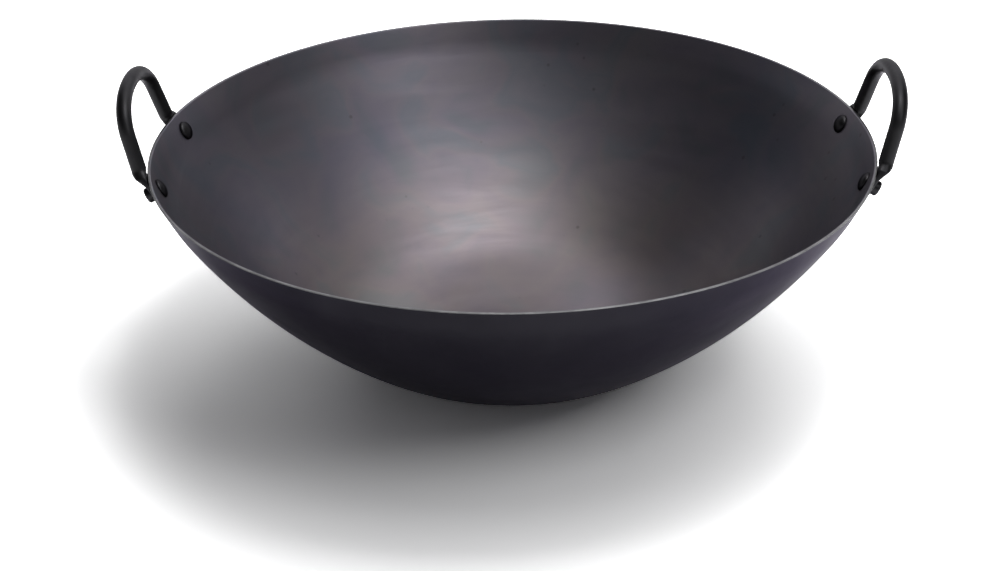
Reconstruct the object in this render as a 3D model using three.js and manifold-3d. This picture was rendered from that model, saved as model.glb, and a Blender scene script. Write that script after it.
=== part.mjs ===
// A two-handled wok: a bowl pressed from sheet steel, with two upright loop handles of round rod.
// Each handle ends in two hammered tabs, and one rivet through each tab holds it to the bowl.
// Millimetres, +Z up. The origin is the middle of the flat base, and the handles lie along X.

import * as THREE from 'three';
import { mergeVertices } from 'three/addons/utils/BufferGeometryUtils.js';
import Module from 'manifold-3d';

const wasm = await Module();
wasm.setup();

const { degToRad } = THREE.MathUtils;

// Bowl
const mouthDiameter = 400;
const bowlHeight = 134;
const baseDiameter = 44;
const sheetThickness = 1.5;
const lipHeight = 16;
const lipLean = degToRad(26);
const wallLean = degToRad(32);
const bottomSlope = degToRad(36);

// Rivets
const rivetSpacing = 80.5;
const rivetDrop = 10;
const shankDiameter = 5;
const innerHeadDiameter = 11;
const innerHeadHeight = 2.6;
const outerHeadDiameter = 8.5;
const outerHeadHeight = 3.6;
const outerHeadRounding = 1.2;

// Handles
const rodDiameter = 8.4;
const rodOverRim = 0.5;
const handleLean = degToRad(14.2);
const legRise = 20;
const archWidth = 73;
const archRise = 18;
const archShoulder = 8.5;
const archCrown = 49;
const tabWidth = 15;
const tabThickness = 3;
const tabReachBelow = 9;
const tabReachAbove = 4.5;
const rodStart = 2;

// Clearances
const seatGap = 0.3;
const holeGap = 0.3;
const rimGap = 0.4;

// Facets
const bowlSides = 80;
const bottomSteps = 6;
const wallSteps = 7;
const rodSides = 14;
const tabEndSteps = 4;
const wallTaperSteps = 3;
const rodTaperSteps = 2;
const archSteps = 9;
const rivetSides = 16;
const headSteps = 3;

const mouthRadius = mouthDiameter / 2;
const rodRadius = rodDiameter / 2;
const shankRadius = shankDiameter / 2;

const steel = (color, roughness) => new THREE.MeshStandardMaterial({ color, roughness, metalness: 0.9 });
const bowlSteel = steel(0x35353a, 0.42);
const handleSteel = steel(0x2a2a2d, 0.5);
const rivetSteel = steel(0x26262a, 0.48);

// Closed mesh to solid and back, for the holes

function toSolid(geometry) {
  geometry.deleteAttribute('normal');
  geometry.deleteAttribute('uv');
  const merged = mergeVertices(geometry);
  const corners = [];
  for (let i = 0; i < merged.index.count; i += 3) {
    const triangle = [0, 1, 2].map((k) => merged.index.getX(i + k));
    if (new Set(triangle).size === 3) corners.push(...triangle);
  }
  const vertProperties = new Float32Array(merged.attributes.position.array);
  const triVerts = new Uint32Array(corners);
  return new wasm.Manifold(new wasm.Mesh({ numProp: 3, vertProperties, triVerts }));
}

function toGeometry(solid) {
  const { vertProperties, triVerts } = solid.getMesh();
  const geometry = new THREE.BufferGeometry();
  geometry.setAttribute('position', new THREE.BufferAttribute(vertProperties, 3));
  geometry.setIndex(new THREE.BufferAttribute(triVerts, 1));
  return geometry;
}

function cutHoles(geometry, holes) {
  let solid = toSolid(geometry);
  for (const hole of holes) solid = solid.subtract(toSolid(hole));
  return toGeometry(solid);
}

// Turned about the Z axis from a profile of radius and height

function turned(profile, sides) {
  return new THREE.LatheGeometry(profile, sides).rotateX(Math.PI / 2);
}

function arc(centre, radius, from, to, steps) {
  return new THREE.EllipseCurve(centre.x, centre.y, radius, radius, from, to, to < from).getPoints(steps);
}

// Bowl: small flat, round bottom up to its slope, one wide wall arc tangent to it, then the straight lip

function bowlGeometry() {
  const lipFoot = new THREE.Vector2(mouthRadius - lipHeight * Math.tan(lipLean), bowlHeight - lipHeight);
  const wallSlope = Math.PI / 2 - wallLean;
  const reachOfArcs = new THREE.Matrix3().set(
    Math.sin(bottomSlope), Math.sin(wallSlope) - Math.sin(bottomSlope), 0,
    1 - Math.cos(bottomSlope), Math.cos(bottomSlope) - Math.cos(wallSlope), 0,
    0, 0, 1,
  );
  const flatToLip = new THREE.Vector3(lipFoot.x - baseDiameter / 2, lipFoot.y, 0);
  const { x: bottomRadius, y: wallRadius } = flatToLip.applyMatrix3(reachOfArcs.invert());
  const bottomCentre = new THREE.Vector2(baseDiameter / 2, bottomRadius);
  const wallCentre = new THREE.Vector2(-Math.cos(wallLean), Math.sin(wallLean))
    .multiplyScalar(wallRadius)
    .add(lipFoot);
  const meetingAngle = bottomSlope - Math.PI / 2;

  const skin = (inset) => [
    new THREE.Vector2(0, inset),
    ...arc(bottomCentre, bottomRadius - inset, -Math.PI / 2, meetingAngle, bottomSteps),
    ...arc(wallCentre, wallRadius - inset, meetingAngle, -wallLean, wallSteps).slice(1),
    new THREE.Vector2(mouthRadius - inset / Math.cos(lipLean), bowlHeight),
  ];
  return turned([...skin(0), ...skin(sheetThickness).reverse()], bowlSides);
}

// Seat of a rivet on the outside of the lip, on the side of +X: its place and its outward frame

function rivetSeat(sign) {
  const radius = mouthRadius - rivetDrop * Math.tan(lipLean);
  const azimuth = sign * Math.asin(rivetSpacing / 2 / radius);
  const radial = new THREE.Vector3(Math.cos(azimuth), Math.sin(azimuth), 0);
  const up = new THREE.Vector3(0, 0, 1);
  return {
    azimuth,
    place: radial.clone().multiplyScalar(radius).addScaledVector(up, bowlHeight - rivetDrop),
    out: radial.clone().multiplyScalar(Math.cos(lipLean)).addScaledVector(up, -Math.sin(lipLean)),
    along: radial.clone().multiplyScalar(Math.sin(lipLean)).addScaledVector(up, Math.cos(lipLean)),
    across: new THREE.Vector3(-radial.y, radial.x, 0),
  };
}

function onSeat(geometry, seat) {
  const frame = new THREE.Matrix4().makeBasis(seat.across, seat.along, seat.out).setPosition(seat.place);
  return geometry.applyMatrix4(frame);
}

// Hole for a shank, long enough to pass through the sheet and the tab

function holeGeometry(seat) {
  const radius = shankRadius + holeGap;
  const reach = 2 * (sheetThickness + seatGap + tabThickness);
  const profile = [[0, -reach], [radius, -reach], [radius, reach], [0, reach]];
  return onSeat(turned(profile.map(([r, z]) => new THREE.Vector2(r, z)), rivetSides), seat);
}

// Rivet: low dome inside the bowl, shank through the sheet and the tab, rounded button outside

function rivetGeometry(seat) {
  const innerFace = -sheetThickness - seatGap;
  const outerFace = 2 * seatGap + tabThickness;
  const innerRadius = innerHeadDiameter / 2;
  const outerRadius = outerHeadDiameter / 2;
  const rounding = Math.min(outerHeadRounding, outerRadius, outerHeadHeight);
  const domed = (k) => {
    const turn = Math.PI / 2 * k / headSteps;
    return new THREE.Vector2(innerRadius * Math.sin(turn), innerFace - innerHeadHeight * Math.cos(turn));
  };
  const buttonCentre = new THREE.Vector2(outerRadius - rounding, outerFace + outerHeadHeight - rounding);
  const profile = [
    ...Array.from({ length: headSteps + 1 }, (_, k) => domed(k)),
    new THREE.Vector2(shankRadius, innerFace),
    new THREE.Vector2(shankRadius, outerFace),
    new THREE.Vector2(outerRadius, outerFace),
    ...arc(buttonCentre, rounding, 0, Math.PI / 2, headSteps),
    new THREE.Vector2(0, outerFace + outerHeadHeight),
  ];
  return onSeat(turned(profile, rivetSides), seat);
}

// Ring of the handle: a round or flattened section about a centre

const roundSection = 2;
const flatSection = 7;

function ring({ centre, across, out, halfWidth, halfThickness, squareness }) {
  const bulge = (value) => Math.sign(value) * Math.abs(value) ** (2 / squareness);
  return Array.from({ length: rodSides }, (_, k) => {
    const turn = 2 * Math.PI * (k + 0.5) / rodSides;
    return centre.clone()
      .addScaledVector(across, halfWidth * bulge(Math.cos(turn)))
      .addScaledVector(out, halfThickness * bulge(Math.sin(turn)));
  });
}

// Solid skin over a row of rings, closed with a fan at each end

function skinned(rings) {
  const points = rings.flat();
  const corners = [];
  for (let i = 0; i + 1 < rings.length; i += 1) {
    for (let k = 0; k < rodSides; k += 1) {
      const a = i * rodSides + k;
      const b = i * rodSides + (k + 1) % rodSides;
      corners.push(a, b + rodSides, b, a, a + rodSides, b + rodSides);
    }
  }
  const last = (rings.length - 1) * rodSides;
  for (let k = 1; k + 1 < rodSides; k += 1) {
    corners.push(0, k, k + 1, last, last + k + 1, last + k);
  }
  const geometry = new THREE.BufferGeometry().setFromPoints(points);
  geometry.setIndex(corners);
  return geometry;
}

// Handle: tab, taper with a bend at the rim, leg and half the arch on the side of +Y, then the same mirrored

function handleGeometry() {
  const seat = rivetSeat(1);
  const legOut = new THREE.Vector3(Math.cos(handleLean), 0, -Math.sin(handleLean));
  const legUp = new THREE.Vector3(Math.sin(handleLean), 0, Math.cos(handleLean));
  const legFoot = new THREE.Vector3(0, rivetSpacing / 2, bowlHeight);
  legFoot.x = Math.sqrt((mouthRadius + rodRadius - rodOverRim) ** 2 - legFoot.y ** 2);
  const onLoop = (y, rise) => legFoot.clone().setY(y).addScaledVector(legUp, rise);

  const tabHalf = { halfWidth: tabWidth / 2, halfThickness: tabThickness / 2, squareness: flatSection };
  const rod = { halfWidth: rodRadius, halfThickness: rodRadius, squareness: roundSection };
  const tabInner = (along) => seat.place.clone()
    .addScaledVector(seat.out, seatGap)
    .addScaledVector(seat.along, along);
  const tabRing = (along, halfWidth) => ({
    ...tabHalf,
    centre: tabInner(along).addScaledVector(seat.out, tabHalf.halfThickness),
    across: seat.across,
    out: seat.out,
    halfWidth,
  });

  const legTop = new THREE.Vector2(archWidth / 2, legRise);
  const legFootFlat = new THREE.Vector2(legFoot.y, 0);
  const legDirection = legTop.clone().sub(legFootFlat).normalize();
  const arch = new THREE.CubicBezierCurve(
    legTop,
    legTop.clone().addScaledVector(legDirection, archShoulder),
    new THREE.Vector2(archCrown / 2, legRise + archRise),
    new THREE.Vector2(0, legRise + archRise),
  );
  const rodRing = (point, direction, roll) => {
    const sideways = new THREE.Vector3(0, direction.y, 0).addScaledVector(legUp, -direction.x);
    return {
      ...rod,
      centre: onLoop(point.x, point.y),
      across: sideways.clone().multiplyScalar(Math.cos(roll)).addScaledVector(legOut, -Math.sin(roll)),
      out: legOut.clone().multiplyScalar(Math.cos(roll)).addScaledVector(sideways, Math.sin(roll)),
    };
  };
  const legStart = legFootFlat.clone().lerp(legTop, rodStart / legRise);
  const first = rodRing(legStart, legDirection, seat.azimuth);

  const tabEnd = Array.from({ length: tabEndSteps }, (_, k) => {
    const turn = Math.PI / 2 * (k + 0.5) / tabEndSteps;
    const along = tabHalf.halfWidth * (1 - Math.cos(turn)) - tabReachBelow;
    return tabRing(along, tabHalf.halfWidth * Math.sin(turn));
  });
  const tabSpan = [tabHalf.halfWidth - tabReachBelow, tabReachAbove];
  const tab = tabSpan.map((along) => tabRing(along, tabHalf.halfWidth));

  const firstInner = first.centre.clone().addScaledVector(first.out, -rodRadius);
  const rimBend = new THREE.Vector3(mouthRadius + rimGap, 0, bowlHeight)
    .applyAxisAngle(new THREE.Vector3(0, 0, 1), seat.azimuth);
  const taperInner = (step) => (step < wallTaperSteps
    ? tabInner(tabReachAbove).lerp(rimBend, step / wallTaperSteps)
    : rimBend.clone().lerp(firstInner, (step - wallTaperSteps) / rodTaperSteps));
  const taperSteps = wallTaperSteps + rodTaperSteps;
  const taper = Array.from({ length: taperSteps - 1 }, (_, k) => {
    const share = (k + 1) / taperSteps;
    const eased = THREE.MathUtils.smoothstep(share, 0, 1);
    const out = seat.out.clone().lerp(first.out, share).normalize();
    const halfThickness = THREE.MathUtils.lerp(tabHalf.halfThickness, rodRadius, eased);
    return {
      centre: taperInner(k + 1).addScaledVector(out, halfThickness),
      across: seat.across.clone().lerp(first.across, share).normalize(),
      out,
      halfWidth: THREE.MathUtils.lerp(tabHalf.halfWidth, rodRadius, eased),
      halfThickness,
      squareness: THREE.MathUtils.lerp(flatSection, roundSection, eased),
    };
  });

  const overArch = Array.from({ length: archSteps + 1 }, (_, k) => {
    const share = k / archSteps;
    return rodRing(arch.getPoint(share), arch.getTangent(share), seat.azimuth * (1 - share));
  });
  const half = [...tabEnd, ...tab, ...taper, first, ...overArch].map(ring);
  const mirrored = half.slice(0, -1).reverse().map(
    (points) => points.map(({ x, y, z }) => new THREE.Vector3(x, -y, z)),
  );
  return cutHoles(skinned([...half, ...mirrored]), [holeGeometry(seat), holeGeometry(rivetSeat(-1))]);
}

// Assembly: everything on the side of +X, then the same turned half round

const wok = new THREE.Group();

function addMesh(parent, name, geometry, material) {
  const mesh = new THREE.Mesh(geometry, material);
  mesh.name = name;
  parent.add(mesh);
}

const halfTurn = new THREE.Matrix4().makeRotationZ(Math.PI);
const seats = [rivetSeat(1), rivetSeat(-1)];
const holes = seats.map(holeGeometry);
const holesAcross = seats.map((seat) => holeGeometry(seat).applyMatrix4(halfTurn));
addMesh(wok, 'bowl', cutHoles(bowlGeometry(), [...holes, ...holesAcross]), bowlSteel);

for (const [side, turn, ends] of [['right', 0, ['rear', 'front']], ['left', Math.PI, ['front', 'rear']]]) {
  const group = new THREE.Group();
  group.rotation.z = turn;
  addMesh(group, `handle_${side}`, handleGeometry(), handleSteel);
  seats.forEach((seat, k) => addMesh(group, `rivet_${side}_${ends[k]}`, rivetGeometry(seat), rivetSteel));
  wok.add(group);
}

export default wok;
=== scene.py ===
"""Looks of a two-handled wok: a pressed steel bowl, two rod handles and the rivets that hold them."""

import math

import bpy
from mathutils import Matrix, Vector


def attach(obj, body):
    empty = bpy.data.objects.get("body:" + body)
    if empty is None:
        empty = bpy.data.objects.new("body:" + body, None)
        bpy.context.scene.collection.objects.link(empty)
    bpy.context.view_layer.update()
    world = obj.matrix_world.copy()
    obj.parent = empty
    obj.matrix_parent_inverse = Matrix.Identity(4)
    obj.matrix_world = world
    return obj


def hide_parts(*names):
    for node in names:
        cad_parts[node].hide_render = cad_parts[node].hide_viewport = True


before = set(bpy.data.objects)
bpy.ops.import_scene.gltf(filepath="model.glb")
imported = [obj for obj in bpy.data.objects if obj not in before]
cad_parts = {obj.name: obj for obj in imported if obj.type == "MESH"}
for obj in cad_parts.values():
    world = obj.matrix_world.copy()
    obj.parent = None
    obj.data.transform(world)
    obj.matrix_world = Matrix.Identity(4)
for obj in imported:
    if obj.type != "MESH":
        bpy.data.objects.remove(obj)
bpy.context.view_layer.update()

MM = 0.001
UP = Vector((0, 0, 1))
HALF_TURN = Matrix.Rotation(math.pi, 4, "Z")

# Bowl
MOUTH_RADIUS = 200 * MM
BOWL_HEIGHT = 134 * MM
BASE_RADIUS = 22 * MM
SHEET = 1.5 * MM
LIP_HEIGHT = 16 * MM
LIP_LEAN = math.radians(26)
WALL_LEAN = math.radians(32)
BOTTOM_SLOPE = math.radians(36)
LIP_CREASE = 5 * MM
RIM_ROUNDING = 0.42 * MM

# Rivets
RIVET_SPACING = 80.5 * MM
RIVET_DROP = 10 * MM
SHANK_RADIUS = 2.5 * MM
INNER_HEAD_RADIUS = 5.5 * MM
INNER_HEAD_HEIGHT = 2.6 * MM
OUTER_HEAD_RADIUS = 4.25 * MM
OUTER_HEAD_HEIGHT = 3.6 * MM
OUTER_HEAD_ROUNDING = 1.2 * MM

# Handles
ROD_RADIUS = 4.1 * MM
ROD_OVER_RIM = 0.4 * MM
HANDLE_LEAN = math.radians(14.2)
LEG_RISE = 20 * MM
ARCH_HALF_WIDTH = 36.5 * MM
ARCH_RISE = 18 * MM
ARCH_SHOULDER = 8.5 * MM
ARCH_CROWN = 24.5 * MM
TAB_HALF_WIDTH = 7.5 * MM
TAB_HALF_THICKNESS = 1.5 * MM
TAB_REACH_BELOW = 9 * MM
TAB_REACH_ABOVE = 4.5 * MM
TAB_END_THINNING = 0.4
TAB_END_SHARPNESS = 12
ROD_START = 2 * MM
RIM_BEND_SHARE = 0.6
ROUND_SECTION = 2
FLAT_SECTION = 6

# Clearances
SEAT_GAP = 0.3 * MM
HOLE_GAP = 0.3 * MM
RIM_GAP = 0.4 * MM

# Facets
ON_AXIS = 1e-9
BOWL_SIDES = 320
FLAT_STEPS = 4
BOTTOM_STEPS = 40
WALL_STEPS = 48
CREASE_STEPS = 12
LIP_STEPS = 10
RIM_STEPS = 5
RIVET_SIDES = 56
DOME_STEPS = 14
BUTTON_STEPS = 8
ROD_SIDES = 48
TAB_END_STEPS = 14
TAB_STEPS = 6
TAPER_STEPS = 20
LEG_STEPS = 10
ARCH_STEPS = 56
SHARP_DEGREES = 40
HANDLE_SHARP_DEGREES = 45

# Colours from the dark to the light end of a pattern, each with its place there
HEAT_NEAR_BOTTOM = (
    (0.32, (0.148, 0.142, 0.157)),
    (0.50, (0.164, 0.151, 0.156)),
    (0.70, (0.171, 0.162, 0.160)),
)
HEAT_NEAR_LIP = (
    (0.32, (0.131, 0.136, 0.167)),
    (0.50, (0.152, 0.148, 0.172)),
    (0.70, (0.159, 0.155, 0.171)),
)
HEAT_PATCHES = (
    (0.30, (0.83, 0.86, 0.88)),
    (0.43, (0.95, 0.895, 0.945)),
    (0.54, (1.00, 0.945, 0.960)),
    (0.65, (0.88, 0.92, 0.945)),
    (0.80, (1.00, 0.980, 1.00)),
)
TURNING_SHADE = ((0.3, (0.94, 0.94, 0.94)), (0.7, (1.0, 1.0, 1.0)))
OUTSIDE_MOTTLE = ((0.3, (0.0197, 0.0190, 0.0233)), (0.7, (0.0285, 0.0274, 0.0325)))
RIM_WEAR = ((0.35, (0.11, 0.11, 0.115)), (0.65, (0.20, 0.20, 0.205)))
HANDLE_MOTTLE = ((0.3, (0.022, 0.022, 0.024)), (0.7, (0.034, 0.0335, 0.035)))
RIVET_MOTTLE = ((0.3, (0.022, 0.022, 0.024)), (0.7, (0.036, 0.035, 0.037)))
PIT_COLOUR = (0.05, 0.045, 0.045, 1)
HEAT_CHANGES_FROM = 30 * MM
HEAT_CHANGES_TO = 80 * MM

# Patterns
NOISE_LOW = 0.3
NOISE_HIGH = 0.7
PIT_STRENGTH = 0.42
PIT_CORE_SHARE = 0.4
PIT_CELLS_PER_REGION = 3
PIT_REGION_EDGE = 0.05

# How much of the mirrored light stays at a grazing view
OUTSIDE_EDGE_TINT = (0.515, 0.50, 0.548, 1)
HANDLE_EDGE_TINT = (0.8, 0.79, 0.82, 1)
RIVET_EDGE_TINT = (0.5, 0.49, 0.52, 1)

# View, fitted to the rim, the rivets and the handles
LENS_MM = 63.528
SENSOR_MM = 36
CAMERA_PLACE = Vector((8.7, -904.56, 523.7)) * MM
CAMERA_AIM = Vector((-7.85, 0, 42.32)) * MM
CAMERA_ROLL = math.radians(-0.994)

# Stage
FLOOR_HALF = 1.5
FLOOR_FADES_FROM = 0.95
FLOOR_LIGHTING = (0.8, 0.8, 0.8)
FLOOR_SEEN = (2.4, 2.4, 2.4)
AMBIENT = (0.11, 0.11, 0.1125)
BACKDROP = (1.0, 1.0, 1.0)
BACKDROP_TOP = 0.05
CEILING = (0.08, 0.08, 0.083)
CEILING_FROM = 0.27
LAMPS_AIM = (0, 0, 0.06)

# Places of the colour sockets on a Mix node
MIX_FIRST = 6
MIX_SECOND = 7
MIX_RESULT = 2


def shares(steps):
    return [k / steps for k in range(steps + 1)]


def smooth_step(share):
    return share * share * (3 - 2 * share)


# Meshes


def mesh_object(name, points, faces, face_materials=None, materials=()):
    mesh = bpy.data.meshes.new(name)
    mesh.from_pydata([tuple(p) for p in points], [], faces)
    for material in materials:
        mesh.materials.append(material)
    if face_materials:
        mesh.polygons.foreach_set("material_index", face_materials)
    mesh.polygons.foreach_set("use_smooth", [True] * len(faces))
    mesh.update()
    piece = bpy.data.objects.new(name, mesh)
    bpy.context.scene.collection.objects.link(piece)
    return piece


def turned(profile, sides):
    """Points and faces of a profile of (radius, height) turned about Z, with each face's profile step."""
    rows, points, faces, steps = [], [], [], []
    for radius, height in profile:
        first = len(points)
        if radius < ON_AXIS:
            points.append(Vector((0, 0, height)))
            rows.append([first] * sides)
            continue
        for k in range(sides):
            turn = 2 * math.pi * k / sides
            points.append(Vector((radius * math.cos(turn), radius * math.sin(turn), height)))
        rows.append(list(range(first, first + sides)))
    for step, (low, high) in enumerate(zip(rows, rows[1:])):
        for k in range(sides):
            after = (k + 1) % sides
            corners = [low[k], low[after], high[after], high[k]]
            faces.append(list(dict.fromkeys(corners)))
            steps.append(step)
    return points, faces, steps


def cut(piece, cutters):
    """Takes the cutters out of a piece and throws them away."""
    for cutter in cutters:
        modifier = piece.modifiers.new("hole", "BOOLEAN")
        modifier.operation = "DIFFERENCE"
        modifier.solver = "EXACT"
        modifier.object = cutter
    depsgraph = bpy.context.evaluated_depsgraph_get()
    whole = piece.data
    piece.data = bpy.data.meshes.new_from_object(piece.evaluated_get(depsgraph))
    piece.data.name = piece.name
    piece.modifiers.clear()
    bpy.data.meshes.remove(whole)
    for cutter in cutters:
        bpy.data.objects.remove(cutter)


def finish_shading(piece, sharp_degrees):
    """Smooth shading, apart from edges sharper than the given angle."""
    piece.data.polygons.foreach_set("use_smooth", [True] * len(piece.data.polygons))
    piece.data.set_sharp_from_angle(angle=math.radians(sharp_degrees))


# Bowl


def arc(centre, radius, start, end, steps):
    turns = [start + (end - start) * share for share in shares(steps)]
    return [centre + Vector((math.cos(t), math.sin(t))) * radius for t in turns]


def softened(before, corner, after, reach, steps):
    """A smooth turn at a corner, from `reach` before it to `reach` after it."""
    start = corner + (before - corner).normalized() * reach
    end = corner + (after - corner).normalized() * reach
    return [start.lerp(corner, s).lerp(corner.lerp(end, s), s) for s in shares(steps)]


def bowl_arcs():
    """Centres and radii of the round bottom and of the wall, from the flat, the lip and their slopes."""
    lip_foot = Vector((MOUTH_RADIUS - LIP_HEIGHT * math.tan(LIP_LEAN), BOWL_HEIGHT - LIP_HEIGHT))
    wall_slope = math.pi / 2 - WALL_LEAN
    reach_of_arcs = Matrix(
        (
            (math.sin(BOTTOM_SLOPE), math.sin(wall_slope) - math.sin(BOTTOM_SLOPE)),
            (1 - math.cos(BOTTOM_SLOPE), math.cos(BOTTOM_SLOPE) - math.cos(wall_slope)),
        )
    )
    bottom_radius, wall_radius = reach_of_arcs.inverted() @ (lip_foot - Vector((BASE_RADIUS, 0)))
    bottom_centre = Vector((BASE_RADIUS, bottom_radius))
    wall_centre = lip_foot + Vector((-math.cos(WALL_LEAN), math.sin(WALL_LEAN))) * wall_radius
    return bottom_centre, bottom_radius, wall_centre, wall_radius


def bowl_skin(inset):
    """One side of the sheet from the middle of the base to the rim: flat, round bottom, wall and lip."""
    bottom_centre, bottom_radius, wall_centre, wall_radius = bowl_arcs()
    meeting_angle = BOTTOM_SLOPE - math.pi / 2
    crease_angle = -WALL_LEAN - LIP_CREASE / wall_radius
    flat = [Vector((BASE_RADIUS * share, inset)) for share in shares(FLAT_STEPS)[:-1]]
    bottom = arc(bottom_centre, bottom_radius - inset, -math.pi / 2, meeting_angle, BOTTOM_STEPS)
    wall = arc(wall_centre, wall_radius - inset, meeting_angle, crease_angle, WALL_STEPS)
    foot = wall_centre + Vector((math.cos(WALL_LEAN), -math.sin(WALL_LEAN))) * (wall_radius - inset)
    rim = Vector((MOUTH_RADIUS - inset / math.cos(LIP_LEAN), BOWL_HEIGHT))
    crease = softened(wall[-1], foot, rim, LIP_CREASE, CREASE_STEPS)
    lip = [crease[-1].lerp(rim, share) for share in shares(LIP_STEPS)[1:-1]]
    return flat + bottom + wall[1:-1] + crease + lip, rim


def make_bowl(outside, rim_edge, inside):
    """The whole sheet with its rivet holes, dressed as outside, rim edge and inside."""
    outer, outer_rim = bowl_skin(0)
    inner, inner_rim = bowl_skin(SHEET)
    rim = softened(outer[-1], outer_rim, inner_rim, RIM_ROUNDING, RIM_STEPS)
    rim += softened(outer_rim, inner_rim, inner[-1], RIM_ROUNDING, RIM_STEPS)
    profile = outer + rim + inner[::-1]
    rim_starts = len(outer)
    rim_ends = rim_starts + len(rim) // 2
    points, faces, steps = turned(profile, BOWL_SIDES)
    bands = [0 if s < rim_starts else (1 if s < rim_ends else 2) for s in steps]
    bowl = mesh_object("bowl_shell", points, faces, bands, (outside, rim_edge, inside))
    cut(bowl, [hole_cutter(seat) for seat in all_seats()])
    finish_shading(bowl, SHARP_DEGREES)
    return bowl


# Rivets


class Seat:
    """Where a rivet sits on the outside of the lip, on the side of +X, with its outward frame."""

    def __init__(self, sign):
        radius = MOUTH_RADIUS - RIVET_DROP * math.tan(LIP_LEAN)
        self.azimuth = sign * math.asin(RIVET_SPACING / 2 / radius)
        radial = Vector((math.cos(self.azimuth), math.sin(self.azimuth), 0))
        self.place = radial * radius + UP * (BOWL_HEIGHT - RIVET_DROP)
        self.out = radial * math.cos(LIP_LEAN) - UP * math.sin(LIP_LEAN)
        self.along = radial * math.sin(LIP_LEAN) + UP * math.cos(LIP_LEAN)
        self.across = Vector((-radial.y, radial.x, 0))

    def matrix(self):
        columns = (self.across, self.along, self.out)
        return Matrix.Translation(self.place) @ Matrix(columns).transposed().to_4x4()


def all_seats():
    """Frames of the rivets: right rear, right front, left front and left rear."""
    right = [Seat(1).matrix(), Seat(-1).matrix()]
    return right + [HALF_TURN @ matrix for matrix in right]


def hole_cutter(matrix):
    radius = SHANK_RADIUS + HOLE_GAP
    reach = 2 * (SHEET + SEAT_GAP + 2 * TAB_HALF_THICKNESS)
    points, faces, _ = turned([(0, -reach), (radius, -reach), (radius, reach), (0, reach)], RIVET_SIDES)
    cutter = mesh_object("hole", points, faces)
    cutter.data.transform(matrix)
    bpy.context.view_layer.update()
    return cutter


def rivet_profile():
    """Low dome on the inside of the bowl, shank, and a button on the outside of the tab."""
    inner_face = -SHEET - SEAT_GAP
    outer_face = 2 * SEAT_GAP + 2 * TAB_HALF_THICKNESS
    top = outer_face + OUTER_HEAD_HEIGHT
    turns = [math.pi / 2 * share for share in shares(DOME_STEPS)]
    dome = [
        (INNER_HEAD_RADIUS * math.sin(t), inner_face - INNER_HEAD_HEIGHT * math.cos(t)) for t in turns
    ]
    shank = [(SHANK_RADIUS, inner_face), (SHANK_RADIUS, outer_face), (OUTER_HEAD_RADIUS, outer_face)]
    centre = Vector((OUTER_HEAD_RADIUS, top)) - Vector((1, 1)) * OUTER_HEAD_ROUNDING
    button = [tuple(p) for p in arc(centre, OUTER_HEAD_ROUNDING, 0, math.pi / 2, BUTTON_STEPS)]
    return dome + shank + button + [(0, top)]


def make_rivet(name, matrix, material):
    points, faces, _ = turned(rivet_profile(), RIVET_SIDES)
    rivet = mesh_object(name, points, faces, None, (material,))
    rivet.data.transform(matrix)
    finish_shading(rivet, SHARP_DEGREES)
    return rivet


# Handles: half a loop on the side of +Y, drawn in points of (sideways, up) on a plane that leans outwards


def section(centre, across, out, half_width, half_thickness, squareness):
    """A ring of the handle: round for the rod, flattened for the tab."""
    ring = []
    for k in range(ROD_SIDES):
        turn = 2 * math.pi * (k + 0.5) / ROD_SIDES
        x, y = math.cos(turn), math.sin(turn)
        wide = half_width * math.copysign(abs(x) ** (2 / squareness), x)
        thick = half_thickness * math.copysign(abs(y) ** (2 / squareness), y)
        ring.append(centre + across * wide + out * thick)
    return ring


def bezier(a, b, c, d, t):
    """Point and direction on a cubic curve."""
    point = a * (1 - t) ** 3 + b * (3 * t * (1 - t) ** 2) + c * (3 * t * t * (1 - t)) + d * t**3
    slope = (b - a) * (1 - t) ** 2 + (c - b) * (2 * t * (1 - t)) + (d - c) * t * t
    return point, slope.normalized()


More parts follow.
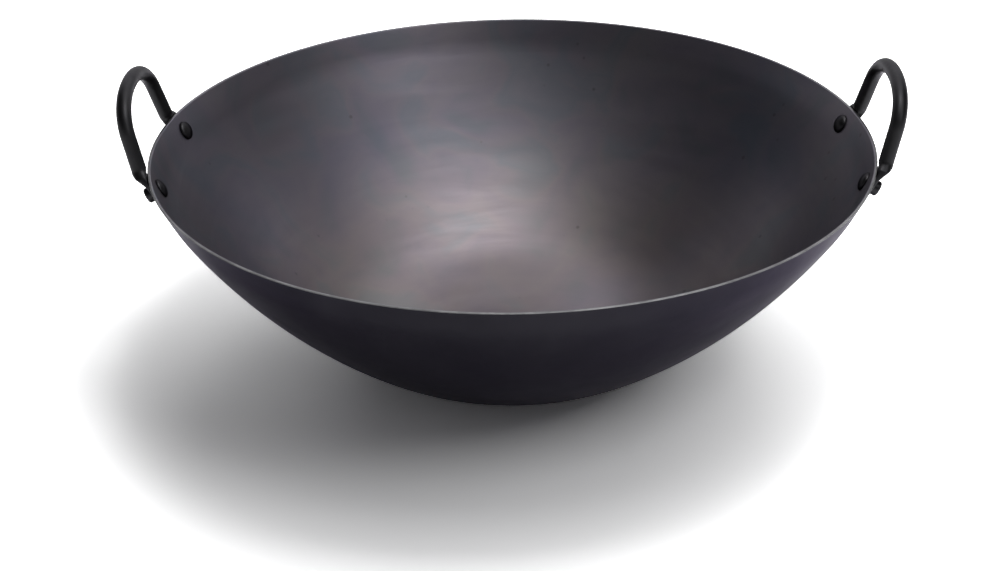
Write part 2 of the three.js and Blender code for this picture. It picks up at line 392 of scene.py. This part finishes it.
class HalfHandle:
    """Rings of half a handle, from the end of its tab to the top of its arch."""

    def __init__(self):
        self.seat = Seat(1)
        self.leg_out = Vector((math.cos(HANDLE_LEAN), 0, -math.sin(HANDLE_LEAN)))
        self.leg_up = Vector((math.sin(HANDLE_LEAN), 0, math.cos(HANDLE_LEAN)))
        foot_y = RIVET_SPACING / 2
        foot_x = math.sqrt((MOUTH_RADIUS + ROD_RADIUS - ROD_OVER_RIM) ** 2 - foot_y**2)
        self.foot = Vector((foot_x, 0, BOWL_HEIGHT))
        leg_foot = Vector((foot_y, 0))
        self.leg_top = Vector((ARCH_HALF_WIDTH, LEG_RISE))
        self.leg_direction = (self.leg_top - leg_foot).normalized()
        self.leg_start = leg_foot.lerp(self.leg_top, ROD_START / LEG_RISE)

    def tab_inner(self, along):
        return self.seat.place + self.seat.out * SEAT_GAP + self.seat.along * along

    def tab_ring(self, along, half_width, thinning=0):
        half_thickness = TAB_HALF_THICKNESS * (1 - thinning)
        centre = self.tab_inner(along) + self.seat.out * TAB_HALF_THICKNESS
        return section(centre, self.seat.across, self.seat.out, half_width, half_thickness, FLAT_SECTION)

    def rod_frame(self, point, direction, roll):
        sideways = Vector((0, direction.y, 0)) - self.leg_up * direction.x
        across = sideways * math.cos(roll) - self.leg_out * math.sin(roll)
        out = self.leg_out * math.cos(roll) + sideways * math.sin(roll)
        return self.foot + Vector((0, point.x, 0)) + self.leg_up * point.y, across, out

    def rod_ring(self, point, direction, roll):
        return section(*self.rod_frame(point, direction, roll), ROD_RADIUS, ROD_RADIUS, ROUND_SECTION)

    def tab(self):
        """The flat end: a half-round tip and a straight part up to the taper."""
        rings = []
        for share in shares(TAB_END_STEPS)[1:]:
            turn = math.pi / 2 * share
            along = TAB_HALF_WIDTH * (1 - math.cos(turn)) - TAB_REACH_BELOW
            thinning = TAB_END_THINNING * math.cos(turn) ** TAB_END_SHARPNESS
            rings.append(self.tab_ring(along, TAB_HALF_WIDTH * math.sin(turn), thinning))
        straight_from = TAB_HALF_WIDTH - TAB_REACH_BELOW
        for share in shares(TAB_STEPS)[1:]:
            along = straight_from + (TAB_REACH_ABOVE - straight_from) * share
            rings.append(self.tab_ring(along, TAB_HALF_WIDTH))
        return rings

    def taper(self):
        """From the flat tab to the round rod; its inner side bends where it passes the rim."""
        seat = self.seat
        first_centre, first_across, first_out = self.rod_frame(
            self.leg_start, self.leg_direction, seat.azimuth
        )
        tab_end = self.tab_inner(TAB_REACH_ABOVE)
        rod_inner = first_centre - first_out * ROD_RADIUS
        past_rim = Vector((MOUTH_RADIUS + RIM_GAP, 0, BOWL_HEIGHT))
        rim_bend = Matrix.Rotation(seat.azimuth, 3, "Z") @ past_rim
        rings = []
        for share in shares(TAPER_STEPS)[1:-1]:
            if share < RIM_BEND_SHARE:
                inner = tab_end.lerp(rim_bend, share / RIM_BEND_SHARE)
            else:
                inner = rim_bend.lerp(rod_inner, (share - RIM_BEND_SHARE) / (1 - RIM_BEND_SHARE))
            eased = smooth_step(share)
            out = seat.out.lerp(first_out, share).normalized()
            across = seat.across.lerp(first_across, share).normalized()
            half_thickness = TAB_HALF_THICKNESS + (ROD_RADIUS - TAB_HALF_THICKNESS) * eased
            half_width = TAB_HALF_WIDTH + (ROD_RADIUS - TAB_HALF_WIDTH) * eased
            squareness = FLAT_SECTION + (ROUND_SECTION - FLAT_SECTION) * eased
            centre = inner + out * half_thickness
            rings.append(section(centre, across, out, half_width, half_thickness, squareness))
        return rings

    def loop(self):
        """The leg and half the arch."""
        rings = []
        for share in shares(LEG_STEPS)[:-1]:
            point = self.leg_start.lerp(self.leg_top, share)
            rings.append(self.rod_ring(point, self.leg_direction, self.seat.azimuth))
        shoulder = self.leg_top + self.leg_direction * ARCH_SHOULDER
        crown = Vector((ARCH_CROWN, LEG_RISE + ARCH_RISE))
        top = Vector((0, LEG_RISE + ARCH_RISE))
        for share in shares(ARCH_STEPS):
            point, direction = bezier(self.leg_top, shoulder, crown, top, share)
            rings.append(self.rod_ring(point, direction, self.seat.azimuth * (1 - share)))
        return rings

    def rings(self):
        return self.tab() + self.taper() + self.loop()


def make_handle(name, turn, material):
    """A half and its mirror image as one closed tube, with a rivet hole in each tab."""
    half = HalfHandle().rings()
    rings = half + [[Vector((p.x, -p.y, p.z)) for p in ring] for ring in half[-2::-1]]
    points = [p for ring in rings for p in ring]
    faces = []
    for i in range(len(rings) - 1):
        for k in range(ROD_SIDES):
            a = i * ROD_SIDES + k
            b = i * ROD_SIDES + (k + 1) % ROD_SIDES
            faces.append([a, a + ROD_SIDES, b + ROD_SIDES, b])
    last = (len(rings) - 1) * ROD_SIDES
    faces.append(list(range(ROD_SIDES)))
    faces.append([last + k for k in reversed(range(ROD_SIDES))])
    handle = mesh_object(name, points, faces, None, (material,))
    cut(handle, [hole_cutter(Seat(1).matrix()), hole_cutter(Seat(-1).matrix())])
    handle.data.transform(turn)
    finish_shading(handle, HANDLE_SHARP_DEGREES)
    return handle


# Nodes


def put(links, socket, value):
    """Links a node's output to a socket, or writes a plain value there."""
    if isinstance(value, bpy.types.NodeSocket):
        links.new(value, socket)
    else:
        socket.default_value = value


def mixed(nodes, links, share, first, second, blend="MIX"):
    """A colour between two others."""
    node = nodes.new("ShaderNodeMix")
    node.data_type = "RGBA"
    node.blend_type = blend
    put(links, node.inputs["Factor"], share)
    put(links, node.inputs[MIX_FIRST], first)
    put(links, node.inputs[MIX_SECOND], second)
    return node.outputs[MIX_RESULT]


def smooth_span(nodes, links, value, low, high, to_low=0.0, to_high=1.0):
    """Goes smoothly from `to_low` to `to_high` while the value goes from `low` to `high`."""
    node = nodes.new("ShaderNodeMapRange")
    node.interpolation_type = "SMOOTHSTEP"
    put(links, node.inputs["Value"], value)
    for name, number in (("From Min", low), ("From Max", high), ("To Min", to_low), ("To Max", to_high)):
        node.inputs[name].default_value = number
    return node.outputs["Result"]


# Materials


class Metal:
    """A node material with one metallic Principled surface."""

    def __init__(self, name):
        self.material = bpy.data.materials.new(name)
        self.material.use_nodes = True
        self.nodes = self.material.node_tree.nodes
        self.links = self.material.node_tree.links
        self.surface = self.nodes["Principled BSDF"]
        self.place = self.nodes.new("ShaderNodeTexCoord").outputs["Object"]
        self.set_input("Metallic", 1.0)

    def set_input(self, name, value):
        put(self.links, self.surface.inputs[name], value)

    def calculate(self, operation, first, second=0.0):
        node = self.nodes.new("ShaderNodeMath")
        node.operation = operation
        put(self.links, node.inputs[0], first)
        put(self.links, node.inputs[1], second)
        return node.outputs[0]

    def noise(self, scale, detail, roughness=0.5, distortion=0.0, place=None):
        node = self.nodes.new("ShaderNodeTexNoise")
        self.links.new(place or self.place, node.inputs["Vector"])
        node.inputs["Scale"].default_value = scale
        node.inputs["Detail"].default_value = detail
        node.inputs["Roughness"].default_value = roughness
        node.inputs["Distortion"].default_value = distortion
        return node.outputs["Fac"]

    def ramp(self, value, stops):
        node = self.nodes.new("ShaderNodeValToRGB")
        elements = node.color_ramp.elements
        while len(elements) < len(stops):
            elements.new(0.5)
        for element, (position, colour) in zip(elements, stops):
            element.position = position
            element.color = (*colour, 1)
        self.links.new(value, node.inputs["Fac"])
        return node.outputs["Color"]

    def span(self, value, low, high, to_low, to_high):
        return smooth_span(self.nodes, self.links, value, low, high, to_low, to_high)

    def vary(self, pattern, low, high):
        """A value that follows a noise pattern from `low` to `high`."""
        return self.span(pattern, NOISE_LOW, NOISE_HIGH, low, high)

    def mix(self, share, first, second):
        return mixed(self.nodes, self.links, share, first, second)

    def multiply(self, first, second):
        return mixed(self.nodes, self.links, 1.0, first, second, "MULTIPLY")

    def parts(self):
        node = self.nodes.new("ShaderNodeSeparateXYZ")
        self.links.new(self.place, node.inputs[0])
        return node.outputs

    def turned_place(self, around, along):
        """Coordinates that change slowly around the axis and fast along the wall."""
        x, y, z = self.parts()
        square_x = self.calculate("MULTIPLY", x, x)
        square_y = self.calculate("MULTIPLY", y, y)
        radius = self.calculate("SQRT", self.calculate("ADD", square_x, square_y))
        up_the_wall = self.calculate("ADD", radius, z)
        join = self.nodes.new("ShaderNodeCombineXYZ")
        for socket, part, scale in zip(join.inputs, (x, y, up_the_wall), (around, around, along)):
            self.links.new(self.calculate("MULTIPLY", part, scale), socket)
        return join.outputs[0]

    def pits(self, cells_per_metre, size, regions_from):
        """1 in small spots, 0 elsewhere, in the regions where a wide noise passes `regions_from`."""
        cells = self.nodes.new("ShaderNodeTexVoronoi")
        self.links.new(self.place, cells.inputs["Vector"])
        cells.inputs["Scale"].default_value = cells_per_metre
        spots = self.span(cells.outputs["Distance"], size * PIT_CORE_SHARE, size, 1, 0)
        wide_noise = self.noise(scale=cells_per_metre / PIT_CELLS_PER_REGION, detail=2)
        regions = self.span(wide_noise, regions_from, regions_from + PIT_REGION_EDGE, 0, 1)
        return self.calculate("MULTIPLY", spots, regions)

    def brush_around(self, amount):
        """Stretches the gloss up and down the wall, as fine turning marks around the axis do."""
        tangent = self.nodes.new("ShaderNodeTangent")
        tangent.direction_type = "RADIAL"
        tangent.axis = "Z"
        self.set_input("Tangent", tangent.outputs["Tangent"])
        self.set_input("Anisotropic", amount)

    def bump(self, height, strength, distance, before=None):
        node = self.nodes.new("ShaderNodeBump")
        node.inputs["Strength"].default_value = strength
        node.inputs["Distance"].default_value = distance
        self.links.new(height, node.inputs["Height"])
        if before:
            self.links.new(before, node.inputs["Normal"])
        return node.outputs["Normal"]


def inside_steel():
    """Oiled steel with soft blue, purple and brown heat colours, turning marks and a few pits."""
    metal = Metal("bowl_inside_steel")
    clouds = metal.noise(scale=9, detail=3, distortion=0.5)
    rise = metal.span(metal.parts()["Z"], HEAT_CHANGES_FROM, HEAT_CHANGES_TO, 0, 1)
    heat = metal.mix(rise, metal.ramp(clouds, HEAT_NEAR_BOTTOM), metal.ramp(clouds, HEAT_NEAR_LIP))
    patches = metal.ramp(metal.noise(scale=24, detail=3, distortion=0.6), HEAT_PATCHES)
    turning = metal.turned_place(around=12, along=48)
    marks = metal.noise(scale=1, detail=4, roughness=0.6, distortion=0.6, place=turning)
    colour = metal.multiply(metal.multiply(heat, patches), metal.ramp(marks, TURNING_SHADE))
    pits = metal.pits(cells_per_metre=70, size=0.12, regions_from=0.528)
    pit_share = metal.calculate("MULTIPLY", pits, PIT_STRENGTH)
    metal.set_input("Base Color", metal.mix(pit_share, colour, PIT_COLOUR))
    metal.set_input("Roughness", metal.vary(marks, 0.44, 0.40))
    metal.brush_around(0.6)
    grain = metal.bump(metal.noise(scale=700, detail=3, roughness=0.6), strength=0.08, distance=0.2 * MM)
    grooves_place = metal.turned_place(around=20, along=420)
    grooves = metal.noise(scale=1, detail=3, roughness=0.6, distortion=0.2, place=grooves_place)
    metal.set_input("Normal", metal.bump(grooves, strength=0.04, distance=0.2 * MM, before=grain))
    return metal.material


def outside_steel():
    """Darker oiled steel with a faint blue mottle."""
    metal = Metal("bowl_outside_steel")
    mottle = metal.noise(scale=16, detail=4, roughness=0.55, distortion=0.5)
    metal.set_input("Base Color", metal.ramp(mottle, OUTSIDE_MOTTLE))
    metal.set_input("Specular Tint", OUTSIDE_EDGE_TINT)
    gloss = metal.noise(scale=30, detail=4, roughness=0.6)
    metal.set_input("Roughness", metal.vary(gloss, 0.40, 0.46))
    grain = metal.noise(scale=700, detail=3, roughness=0.6)
    metal.set_input("Normal", metal.bump(grain, strength=0.08, distance=0.2 * MM))
    return metal.material


def rim_steel():
    """The cut edge of the sheet, worn bright in places."""
    metal = Metal("rim_edge_steel")
    wear = metal.noise(scale=60, detail=4, roughness=0.65)
    metal.set_input("Base Color", metal.ramp(wear, RIM_WEAR))
    metal.set_input("Roughness", metal.vary(wear, 0.42, 0.3))
    grain = metal.noise(scale=1500, detail=2)
    metal.set_input("Normal", metal.bump(grain, strength=0.2, distance=0.1 * MM))
    return metal.material


def handle_steel():
    """Dark forged rod with a dull mottle and grain."""
    metal = Metal("handle_dark_steel")
    mottle = metal.noise(scale=45, detail=4, roughness=0.6, distortion=0.3)
    metal.set_input("Base Color", metal.ramp(mottle, HANDLE_MOTTLE))
    metal.set_input("Specular Tint", HANDLE_EDGE_TINT)
    gloss = metal.noise(scale=90, detail=4, roughness=0.6)
    metal.set_input("Roughness", metal.vary(gloss, 0.42, 0.50))
    grain = metal.noise(scale=900, detail=3, roughness=0.6)
    metal.set_input("Normal", metal.bump(grain, strength=0.15, distance=0.2 * MM))
    return metal.material


def rivet_steel():
    """Dark rivets, a little glossier than the rod."""
    metal = Metal("rivet_dark_steel")
    mottle = metal.noise(scale=150, detail=4, roughness=0.6)
    metal.set_input("Base Color", metal.ramp(mottle, RIVET_MOTTLE))
    metal.set_input("Specular Tint", RIVET_EDGE_TINT)
    metal.set_input("Roughness", metal.vary(mottle, 0.34, 0.42))
    grain = metal.noise(scale=1200, detail=2)
    metal.set_input("Normal", metal.bump(grain, strength=0.15, distance=0.1 * MM))
    return metal.material


# Stage


def seen_directly(nodes, links):
    """1 for camera, glossy and transmission rays, 0 for the rays that light the object."""
    path = nodes.new("ShaderNodeLightPath")
    seen = path.outputs["Is Camera Ray"]
    for name in ("Is Glossy Ray", "Is Transmission Ray"):
        either = nodes.new("ShaderNodeMath")
        either.operation = "MAXIMUM"
        links.new(seen, either.inputs[0])
        links.new(path.outputs[name], either.inputs[1])
        seen = either.outputs[0]
    return seen


def make_world():
    """A dim even light; seen directly or mirrored, a white backdrop below a dim ceiling."""
    world = bpy.data.worlds.new("studio")
    bpy.context.scene.world = world
    world.use_nodes = True
    nodes, links = world.node_tree.nodes, world.node_tree.links
    direction = nodes.new("ShaderNodeSeparateXYZ")
    links.new(nodes.new("ShaderNodeTexCoord").outputs["Generated"], direction.inputs[0])
    rise = smooth_span(nodes, links, direction.outputs["Z"], BACKDROP_TOP, CEILING_FROM)
    studio = mixed(nodes, links, rise, (*BACKDROP, 1), (*CEILING, 1))
    colour = mixed(nodes, links, seen_directly(nodes, links), (*AMBIENT, 1), studio)
    links.new(colour, nodes["Background"].inputs["Color"])


def make_floor():
    """A pale floor that fades into the backdrop away from the object."""
    material = bpy.data.materials.new("pale_floor")
    material.use_nodes = True
    nodes, links = material.node_tree.nodes, material.node_tree.links
    nodes.remove(nodes["Principled BSDF"])
    diffuse = nodes.new("ShaderNodeBsdfDiffuse")
    colour = mixed(nodes, links, seen_directly(nodes, links), (*FLOOR_LIGHTING, 1), (*FLOOR_SEEN, 1))
    links.new(colour, diffuse.inputs["Color"])
    reach = nodes.new("ShaderNodeVectorMath")
    reach.operation = "LENGTH"
    links.new(nodes.new("ShaderNodeTexCoord").outputs["Object"], reach.inputs[0])
    edge = nodes.new("ShaderNodeMixShader")
    fade = smooth_span(nodes, links, reach.outputs["Value"], FLOOR_FADES_FROM, FLOOR_HALF)
    links.new(fade, edge.inputs["Fac"])
    links.new(diffuse.outputs[0], edge.inputs[1])
    links.new(nodes.new("ShaderNodeBsdfTransparent").outputs[0], edge.inputs[2])
    links.new(edge.outputs[0], nodes["Material Output"].inputs["Surface"])
    square = ((-1, -1), (1, -1), (1, 1), (-1, 1))
    corners = [Vector((x * FLOOR_HALF, y * FLOOR_HALF, 0)) for x, y in square]
    floor = mesh_object("floor", corners, [[0, 1, 2, 3]], None, (material,))


def make_softbox(name, place, width, height, level, aim=LAMPS_AIM):
    """A rectangular lamp whose level is the brightness of its own face."""
    lamp = bpy.data.lights.new(name, "AREA")
    lamp.shape = "RECTANGLE"
    lamp.size = width
    lamp.size_y = height
    lamp.energy = level * math.pi * width * height
    box = bpy.data.objects.new(name, lamp)
    box.location = place
    box.rotation_mode = "QUATERNION"
    box.rotation_quaternion = (Vector(aim) - Vector(place)).to_track_quat("-Z", "Y")
    bpy.context.scene.collection.objects.link(box)


def make_overhead(name, x, y, z, width, height, level):
    """A softbox that faces straight down."""
    make_softbox(name, (x, y, z), width, height, level, aim=(x, y, 0))


def make_camera():
    data = bpy.data.cameras.new("camera")
    data.sensor_fit = "HORIZONTAL"
    data.sensor_width = SENSOR_MM
    data.lens = LENS_MM
    camera = bpy.data.objects.new("camera", data)
    camera.location = CAMERA_PLACE
    camera.rotation_mode = "QUATERNION"
    aimed = (CAMERA_AIM - CAMERA_PLACE).to_track_quat("-Z", "Y")
    camera.rotation_quaternion = aimed @ Matrix.Rotation(CAMERA_ROLL, 3, "Z").to_quaternion()
    bpy.context.scene.collection.objects.link(camera)
    bpy.context.scene.camera = camera


def dress(piece, node):
    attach(piece, "root")
    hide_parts(node)


bpy.context.scene.view_settings.view_transform = "Standard"
make_camera()
make_world()
make_floor()
make_overhead("lamp_bank", x=0.35, y=-0.05, z=1.15, width=0.88, height=0.9, level=1.72)
make_overhead("lamp_rear", x=0.14, y=0.8, z=1.15, width=1.2, height=0.8, level=1.42)
make_overhead("lamp_key", x=0.17, y=0.0, z=1.1, width=0.36, height=0.4, level=6.4)
make_softbox("lamp_front", place=(0.68, -0.66, 1.0), width=0.42, height=0.5, level=3.6)
make_softbox("lamp_back", place=(0.05, 0.95, 0.66), width=1.9, height=0.4, level=1.4)

dress(make_bowl(outside_steel(), rim_steel(), inside_steel()), "bowl")

dark_rod = handle_steel()
dress(make_handle("handle_loop_right", Matrix.Identity(4), dark_rod), "handle_right")
dress(make_handle("handle_loop_left", HALF_TURN, dark_rod), "handle_left")

dark_rivet = rivet_steel()
rivet_nodes = ("rivet_right_rear", "rivet_right_front", "rivet_left_front", "rivet_left_rear")
for rivet_node, rivet_matrix in zip(rivet_nodes, all_seats()):
    dress(make_rivet(rivet_node + "_head", rivet_matrix, dark_rivet), rivet_node)
